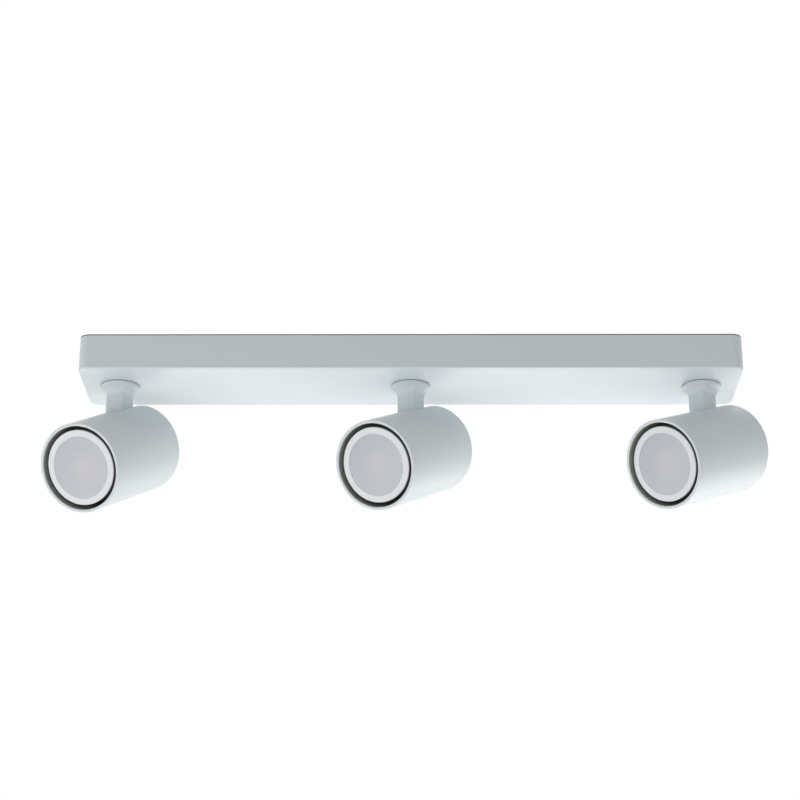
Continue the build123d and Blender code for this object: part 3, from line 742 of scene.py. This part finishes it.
def stem_shape():
    """Neck, collar, flare, square column and full-round foot, drawn down ring by ring."""
    shape = bmesh.new()
    bmesh.ops.create_circle(shape, cap_ends=True, segments=STEM_STEPS, radius=NECK_RADIUS - NECK_CHAMFER)
    bmesh.ops.translate(shape, verts=shape.verts, vec=(0, 0, NECK_TOP))
    ring = shape.edges[:]
    band_bottom = COLLAR_TOP - COLLAR_BAND
    column_top = band_bottom - COLLAR_FLARE
    for radius, height in (
        (NECK_RADIUS, NECK_TOP - NECK_CHAMFER),
        (NECK_RADIUS, WASHER_SEAT),
        (WASHER_SEAT_RADIUS, WASHER_SEAT),
        (WASHER_SEAT_RADIUS, COLLAR_TOP),
        (COLLAR_RADIUS - COLLAR_EDGE, COLLAR_TOP),
        (COLLAR_RADIUS, COLLAR_TOP - COLLAR_EDGE),
        (COLLAR_RADIUS, band_bottom),
    ):
        ring = draw_ring(shape, ring, height, on_circle(radius))
    for step in range(1, FLARE_STEPS + 1):
        rise = 1 - step / FLARE_STEPS
        corner = COLUMN_CORNER + (COLLAR_RADIUS - COLUMN_CORNER) * rise**FLARE_SWEEP
        place = between(on_square(corner / math.sqrt(2)), on_circle(corner), rise**FLARE_ROUNDING)
        ring = draw_ring(shape, ring, column_top + rise * COLLAR_FLARE, place)
    ring = draw_ring(shape, ring, PIVOT_HEIGHT, lambda angle, point: (point.x, point.y))
    for step in range(1, FOOT_STEPS + 1):
        before, turned = ((step - back) / FOOT_STEPS * math.pi / 2 for back in (1, 0))
        narrowing = math.cos(turned) / math.cos(before)
        height = PIVOT_HEIGHT - COLUMN_HALF * math.sin(turned)
        ring = draw_ring(shape, ring, height, lambda angle, point: (point.x, point.y * narrowing))
    bmesh.ops.remove_doubles(shape, verts=shape.verts, dist=MERGE_DISTANCE)
    bmesh.ops.recalc_face_normals(shape, faces=shape.faces)
    round_edges(shape, column_corners(shape, band_bottom), COLUMN_EDGE_RADIUS, COLUMN_EDGE_STEPS)
    above, far = NECK_TOP + OVERCUT, 2 * COLUMN_HALF
    cuts = [
        rod(WIRE_BORE_RADIUS, (0, 0, above), (0, 0, PIVOT_HEIGHT - far)),
        rod(PIVOT_THREAD_RADIUS, (-far, 0, PIVOT_HEIGHT), (far, 0, PIVOT_HEIGHT)),
        block((-NECK_RADIUS, NECK_FLAT, UNDERSIDE + BAR_WALL), (NECK_RADIUS, 2 * NECK_RADIUS, above)),
    ]
    stem = combine(as_mesh(shape, "stem"), cuts)
    # The collar's top and its washer seat, seen only through the gap under the bar, are dark: painted shade
    # that deepens the shadow line in that gap.
    for polygon in stem.polygons:
        around = math.hypot(polygon.center.x, polygon.center.y)
        on_top = polygon.normal.z > FACING_UP and polygon.center.z > band_bottom
        polygon.material_index = int(on_top and around > NECK_RADIUS)
    return stem


# ---------------------------------------------------------------- tube and carrier
def along_tube(shape):
    """Turn a piece made about Z so that it runs back along the tube's axis."""
    turned = Matrix(((1, 0, 0), (0, 0, 1), (0, -1, 0))).to_4x4()
    turned.translation = (0, 0, TUBE_AXIS_HEIGHT)
    bmesh.ops.transform(shape, matrix=turned, verts=shape.verts)
    return shape


def tube_rod(radius, x, front, rear):
    """A rod parallel to the tube's axis, at its height."""
    return rod(radius, (x, front, TUBE_AXIS_HEIGHT), (x, rear, TUBE_AXIS_HEIGHT))


def tube_shape():
    """Thin round tube with rolled rims, slotted behind, with two screw lugs inside."""
    wall = section(
        [
            (TUBE_BORE_RADIUS, TUBE_FRONT),
            (TUBE_RADIUS, TUBE_FRONT),
            (TUBE_RADIUS, TUBE_REAR),
            (TUBE_BORE_RADIUS, TUBE_REAR),
        ],
        [(TUBE_RIM_RADIUS, (0, 1, 2, 3))],
    )
    tube = as_mesh(along_tube(turn(wall)), "tube")
    lugs = [tube_rod(LUG_RADIUS, side * LUG_X, LUG_FRONT, CARRIER_FRONT) for side in (-1, 1)]
    tube = combine(tube, lugs, "UNION")
    mouth_front = TUBE_REAR - SLOT_MOUTH_RADIUS
    mouth_half = SLOT_HALF + SLOT_MOUTH_RADIUS
    behind, above = TUBE_REAR + OVERCUT, 2 * TUBE_RADIUS
    corners = []
    for x in (-mouth_half, mouth_half):
        start, end = (x, mouth_front, -OVERCUT), (x, mouth_front, above + OVERCUT)
        corners.append(rod(SLOT_MOUTH_RADIUS, start, end))
    mouth = block((-mouth_half, mouth_front, 0), (mouth_half, behind, above))
    mouth = combine(as_mesh(mouth, "mouth"), corners)
    slot = block((-SLOT_HALF, -SLOT_HALF, 0), (SLOT_HALF, behind, above))
    holes = [tube_rod(SMALL_HOLE_RADIUS, side * LUG_X, LUG_FRONT - OVERCUT, TUBE_REAR) for side in (-1, 1)]
    return combine(tube, [slot, mouth, *holes])


def coat_inside(mesh):
    """Give the tube's inner wall and lugs the second finish."""
    for polygon in mesh.polygons:
        radius = math.hypot(polygon.center.x, polygon.center.z - TUBE_AXIS_HEIGHT)
        polygon.material_index = int(radius < TUBE_BORE_RADIUS + INNER_COAT_REACH)


def carrier_shape():
    """Closing disc with two ears for the stem's foot and two bosses for the lampholder."""
    disc = section(
        [
            (0, CARRIER_FRONT),
            (CARRIER_RADIUS, CARRIER_FRONT),
            (CARRIER_RADIUS, CARRIER_REAR),
            (0, CARRIER_REAR),
        ],
        [(CARRIER_CHAMFER, (2,))],
        steps=1,
    )
    carrier = as_mesh(along_tube(turn(disc)), "carrier")
    middle = (CARRIER_FRONT + CARRIER_REAR) / 2
    front, rear = CARRIER_FRONT - OVERCUT, CARRIER_REAR + OVERCUT
    cuts = [block((-SLOT_HALF, front, -SLOT_HALF), (SLOT_HALF, rear, 2 * TUBE_RADIUS))]
    joined = []
    for side in (-1, 1):
        inner, outer = side * SLOT_HALF, side * EAR_OUTER
        low_x, high_x = min(inner, outer), max(inner, outer)
        joined.append(block((low_x, 0, -EAR_HALF), (high_x, middle, EAR_HALF)))
        joined.append(rod(EAR_HALF, (low_x, 0, 0), (high_x, 0, 0)))
        joined.append(tube_rod(BOSS_RADIUS, side * BOSS_X, BOSS_FRONT, middle))
        cuts.append(tube_rod(SMALL_HOLE_RADIUS, side * BOSS_X, BOSS_FRONT - OVERCUT, rear))
        cuts.append(tube_rod(SMALL_HOLE_RADIUS, side * LUG_X, BOSS_FRONT, rear))
    carrier = combine(carrier, joined, "UNION")
    cuts.append(rod(PIVOT_HOLE_RADIUS, (-2 * EAR_OUTER, 0, 0), (2 * EAR_OUTER, 0, 0)))
    return combine(carrier, cuts)


# ---------------------------------------------------------------- lamp
def lamp_ring_shape():
    """The lamp's front ring: a soft outer edge, and a ledge behind the diffuser."""
    ring = section(
        [
            (DIFFUSER_HOLE_RADIUS, LAMP_FRONT),
            (LAMP_RADIUS, LAMP_FRONT),
            (LAMP_RADIUS, LAMP_RING_REAR),
            (LAMP_RING_LEDGE, LAMP_RING_REAR),
            (LAMP_RING_LEDGE, DIFFUSER_REAR),
            (DIFFUSER_HOLE_RADIUS, DIFFUSER_REAR),
        ],
        [(LAMP_RING_RADIUS, (1,)), (LAMP_RING_INNER_RADIUS, (0,))],
    )
    mesh = as_mesh(along_tube(turn(ring)), "lamp_ring")
    # The ring's side, behind its white face, gets the dark second material as painted shade.
    for polygon in mesh.polygons:
        sideways = abs(polygon.normal.y) < FACING_ALONG
        polygon.material_index = int(sideways and polygon.center.y > LAMP_FRONT + LAMP_FACE_DEPTH)
    return mesh


def diffuser_shape():
    """The lamp's front glass, a disc with a soft front edge."""
    disc = section(
        [
            (0, DIFFUSER_FRONT),
            (DIFFUSER_RADIUS, DIFFUSER_FRONT),
            (DIFFUSER_RADIUS, DIFFUSER_REAR),
            (0, DIFFUSER_REAR),
        ],
        [(DIFFUSER_EDGE_RADIUS, (1,))],
        steps=4,
    )
    return as_mesh(along_tube(turn(disc)), "diffuser")


# ---------------------------------------------------------------- stage
def background_share(tree):
    """1 where something looks at it, straight or by a reflection, 0 where it only gives light."""
    path = tree.nodes.new("ShaderNodeLightPath")
    share = path.outputs["Is Camera Ray"]
    for kind in ("Is Glossy Ray", "Is Transmission Ray"):
        either = tree.nodes.new("ShaderNodeMath")
        either.operation = "MAXIMUM"
        tree.links.new(share, either.inputs[0])
        tree.links.new(path.outputs[kind], either.inputs[1])
        share = either.outputs["Value"]
    return share


def surround():
    """A world that looks white and gives an even, weaker light."""
    world = bpy.data.worlds.new("studio")
    bpy.context.scene.world = world
    world.use_nodes = True
    tree = world.node_tree
    tree.nodes.clear()
    output = tree.nodes.new("ShaderNodeOutputWorld")
    lit = tree.nodes.new("ShaderNodeBackground")
    lit.inputs["Color"].default_value = (WORLD_LEVEL, WORLD_LEVEL, WORLD_LEVEL, 1)
    seen = tree.nodes.new("ShaderNodeBackground")
    seen.inputs["Color"].default_value = WHITE
    mix = tree.nodes.new("ShaderNodeMixShader")
    tree.links.new(background_share(tree), mix.inputs["Fac"])
    tree.links.new(lit.outputs["Background"], mix.inputs[1])
    tree.links.new(seen.outputs["Background"], mix.inputs[2])
    tree.links.new(mix.outputs["Shader"], output.inputs["Surface"])


def hang_lamps():
    """Square soft lamps round the fixture, all turned to its middle."""
    centre = (cad_low + cad_high) / 2
    for name, place, width, power in LAMPS:
        data = bpy.data.lights.new(name, "AREA")
        data.shape = "SQUARE"
        data.size = width
        data.energy = power
        lamp = bpy.data.objects.new(name, data)
        lamp.location = centre + Vector(place)
        lamp.rotation_euler = (-Vector(place)).to_track_quat("-Z", "Y").to_euler()
        bpy.context.scene.collection.objects.link(lamp)


def lay_floor():
    """A plain pale floor well below the fixture."""
    shape = bmesh.new()
    bmesh.ops.create_grid(shape, x_segments=1, y_segments=1, size=FLOOR_HALF)
    bmesh.ops.translate(shape, verts=shape.verts, vec=(0, 0, FLOOR_HEIGHT))
    floor = bpy.data.objects.new("floor", as_mesh(shape, "floor"))
    material, shader = new_material("pale_floor")
    shader.inputs["Base Color"].default_value = FLOOR_COLOUR
    shader.inputs["Roughness"].default_value = FLOOR_ROUGHNESS
    shader.inputs["Emission Color"].default_value = WHITE
    tree = material.node_tree
    level = tree.nodes.new("ShaderNodeMath")
    level.operation = "MULTIPLY"
    level.inputs[1].default_value = FLOOR_PALENESS
    tree.links.new(background_share(tree), level.inputs[0])
    tree.links.new(level.outputs["Value"], shader.inputs["Emission Strength"])
    floor.data.materials.append(material)
    bpy.context.scene.collection.objects.link(floor)


def place_camera():
    """A camera in front of the fixture and below it, looking up at its underside."""
    data = bpy.data.cameras.new("camera")
    data.lens = CAMERA_LENS
    data.sensor_width = CAMERA_SENSOR
    data.clip_start = CAMERA_NEAREST
    camera = bpy.data.objects.new("camera", data)
    rise, aside, roll = (math.radians(angle) for angle in (CAMERA_RISE, CAMERA_TURN, CAMERA_ROLL))
    forward = Vector((math.sin(aside) * math.cos(rise), math.cos(aside) * math.cos(rise), math.sin(rise)))
    flat_right = Vector((math.cos(aside), -math.sin(aside), 0))
    flat_up = flat_right.cross(forward)
    right = flat_right * math.cos(roll) + flat_up * math.sin(roll)
    up = flat_up * math.cos(roll) - flat_right * math.sin(roll)
    turned = Matrix((right, up, -forward)).transposed().to_4x4()
    turned.translation = Vector(CAMERA_PLACE)
    camera.matrix_world = turned
    bpy.context.scene.collection.objects.link(camera)
    bpy.context.scene.camera = camera


# ---------------------------------------------------------------- everything in its place
place_camera()
surround()
hang_lamps()
lay_floor()

show(bar_tray(), "bar_housing", Matrix(), [white_paint])
# The dark strip along the rim is painted shade, for the shadow line under the ceiling.
strip = bpy.data.objects.new("ceiling_strip", ceiling_strip())
finish_piece(strip, "root", [painted_shade_strip])
for side in SIDES:
    show(stem_shape(), f"stem_{side}", stem_place(side), [white_paint, rubber_and_painted_shade])
    place = head_place(side)
    tube = tube_shape()
    coat_inside(tube)
    show(tube, f"tube_{side}", place, [white_paint, inner_coat], SLOT_EDGE_RADIUS)
    show(carrier_shape(), f"carrier_{side}", place, [cast_coat], CAST_EDGE_RADIUS)
    show(lamp_ring_shape(), f"lamp_ring_{side}", place, [lamp_white, lamp_side_painted_shade])
    lens = frosted(f"frosted_lens_{side}", place)
    show(diffuser_shape(), f"lamp_diffuser_{side}", place, [lens])

REMODELLED = {"bar_housing"} | {
    f"{kind}_{side}" for kind in ("stem", "tube", "carrier", "lamp_ring", "lamp_diffuser") for side in SIDES
}
for node in sorted(set(frame["nodes"]) - REMODELLED):
    refined_copy(node)

scene = bpy.context.scene
scene.view_settings.view_transform = "Standard"
